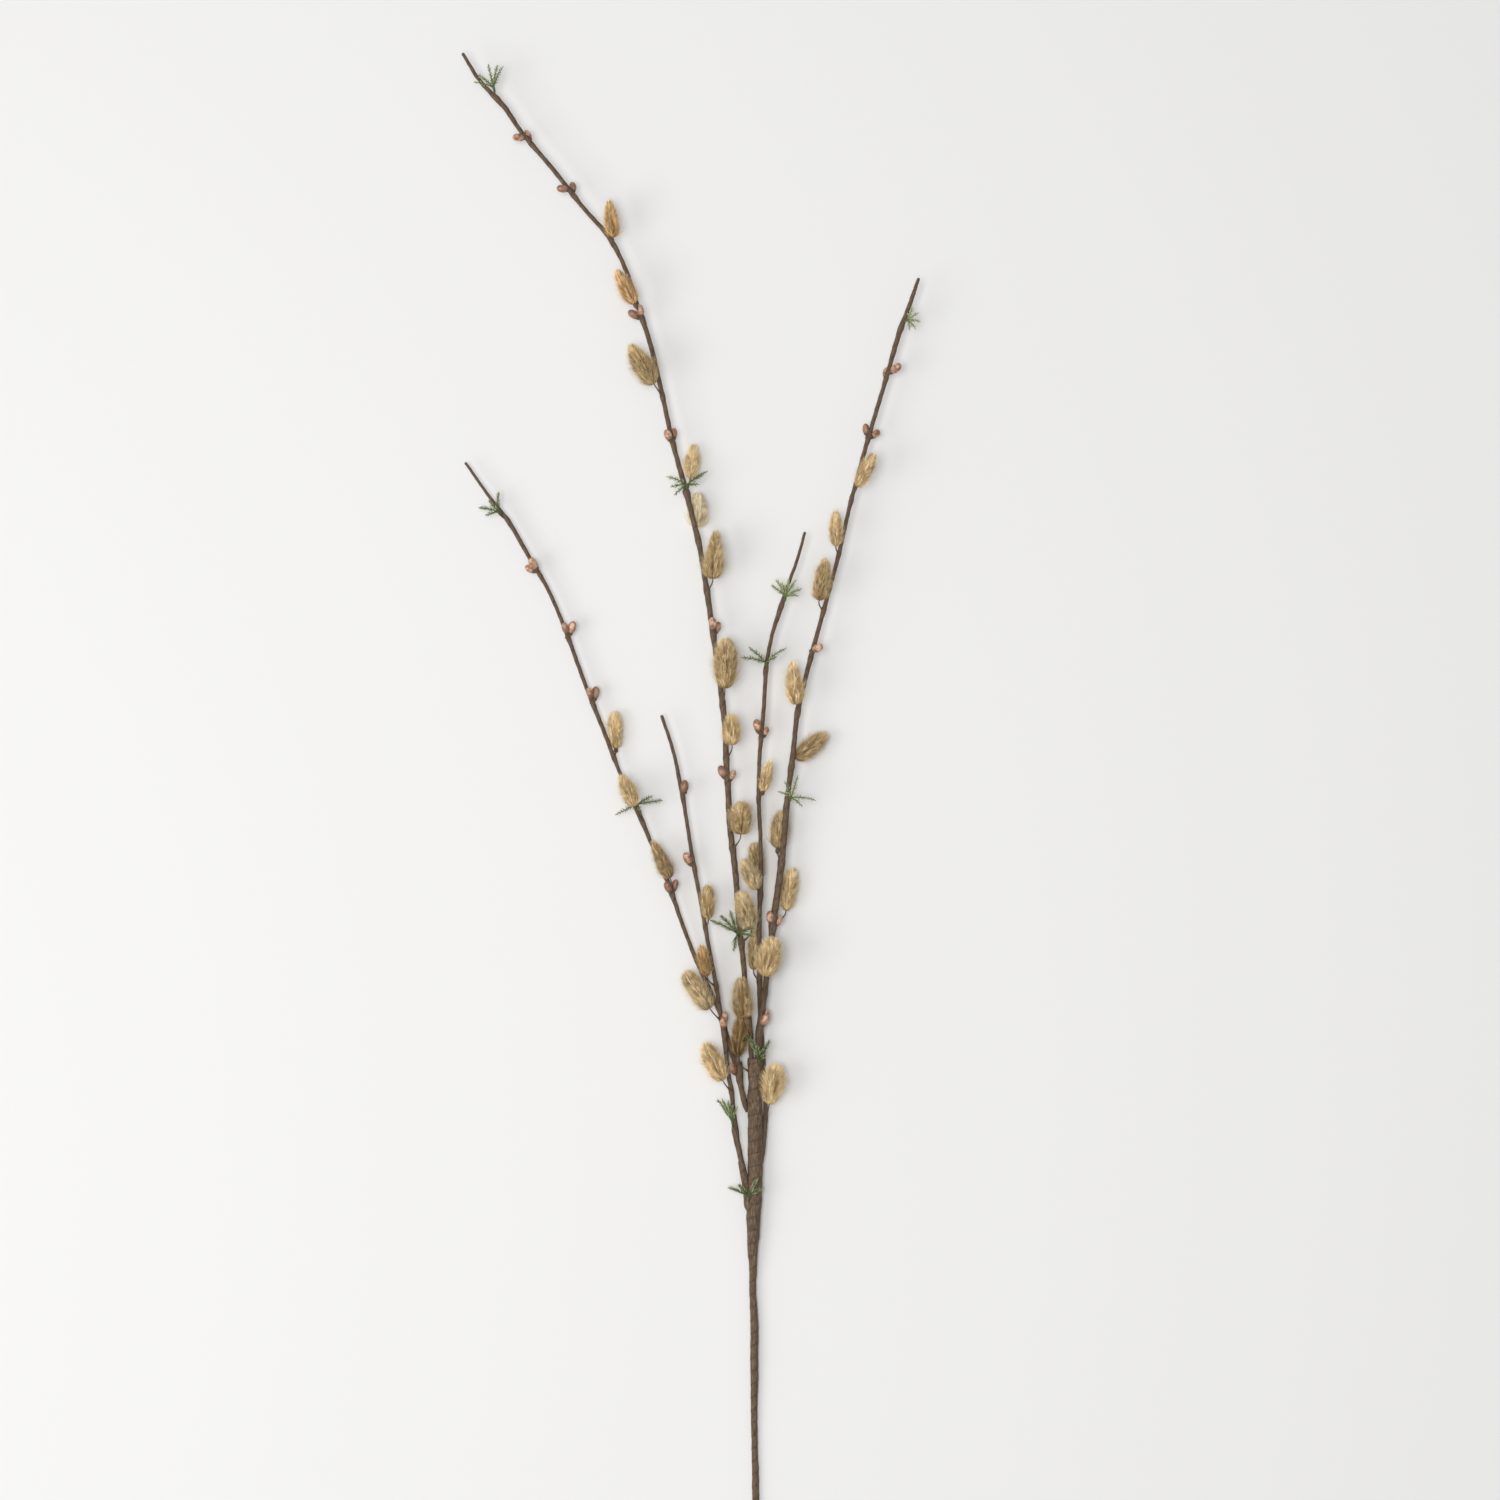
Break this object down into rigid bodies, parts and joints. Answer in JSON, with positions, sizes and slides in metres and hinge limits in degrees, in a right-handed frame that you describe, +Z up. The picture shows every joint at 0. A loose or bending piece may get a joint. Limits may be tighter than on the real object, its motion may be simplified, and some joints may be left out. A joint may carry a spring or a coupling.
{
  "type": "artificial pussy willow spray",
  "caption": "Long wired pussy willow branch, wrapped in brown tape, with furry catkins on wire stalks, copper bud pairs and small green needle sprigs, lying down.",
  "frame": {"origin": "on the surface that the spray lies on, below the middle of its bounding box", "axes": "+Y from the cut end along the branch towards the tips, +Z up from the surface, +X to the right when looking down with the tips away"},
  "size_m": [0.3209, 1.1006, 0.0354],
  "materials": {
    "stem_tape": "matte",
    "catkin_fur": "matte",
    "sprig_green": "satin",
    "bud_copper": "satin"
  },
  "bodies": {
    "root": {"catkin_left_01": "catkin_fur", "catkin_left_02": "catkin_fur", "catkin_left_03": "catkin_fur", "catkin_main_01": "catkin_fur", "catkin_middle_01": "catkin_fur", "catkin_middle_02": "catkin_fur", "catkin_middle_03": "catkin_fur", "catkin_middle_04": "catkin_fur", "catkin_middle_05": "catkin_fur", "catkin_right_01": "catkin_fur", "catkin_right_02": "catkin_fur", "catkin_right_03": "catkin_fur", "catkin_right_04": "catkin_fur", "catkin_right_05": "catkin_fur", "catkin_right_06": "catkin_fur", "catkin_right_07": "catkin_fur", "catkin_right_08": "catkin_fur", "catkin_short_01": "catkin_fur", "catkin_short_02": "catkin_fur", "catkin_short_03": "catkin_fur", "catkin_short_04": "catkin_fur", "catkin_tall_01": "catkin_fur", "catkin_tall_02": "catkin_fur", "catkin_tall_03": "catkin_fur", "catkin_tall_04": "catkin_fur", "catkin_tall_05": "catkin_fur", "catkin_tall_06": "catkin_fur", "catkin_tall_07": "catkin_fur", "catkin_tall_08": "catkin_fur", "catkin_tall_09": "catkin_fur", "catkin_tall_10": "catkin_fur", "catkin_tall_11": "catkin_fur", "main_stem": "stem_tape", "shoot_left": "stem_tape", "shoot_middle": "stem_tape", "shoot_right": "stem_tape", "shoot_short": "stem_tape", "shoot_tall": "stem_tape", "sprig_left_mid": "sprig_green", "sprig_left_top": "sprig_green", "sprig_main_low": "sprig_green", "sprig_main_top": "sprig_green", "sprig_middle_low": "sprig_green", "sprig_middle_top": "sprig_green", "sprig_right_mid": "sprig_green", "sprig_right_top": "sprig_green", "sprig_short_low": "sprig_green", "sprig_tall_low": "sprig_green", "sprig_tall_mid": "sprig_green", "sprig_tall_top": "sprig_green"}
  },
  "joints": []
}
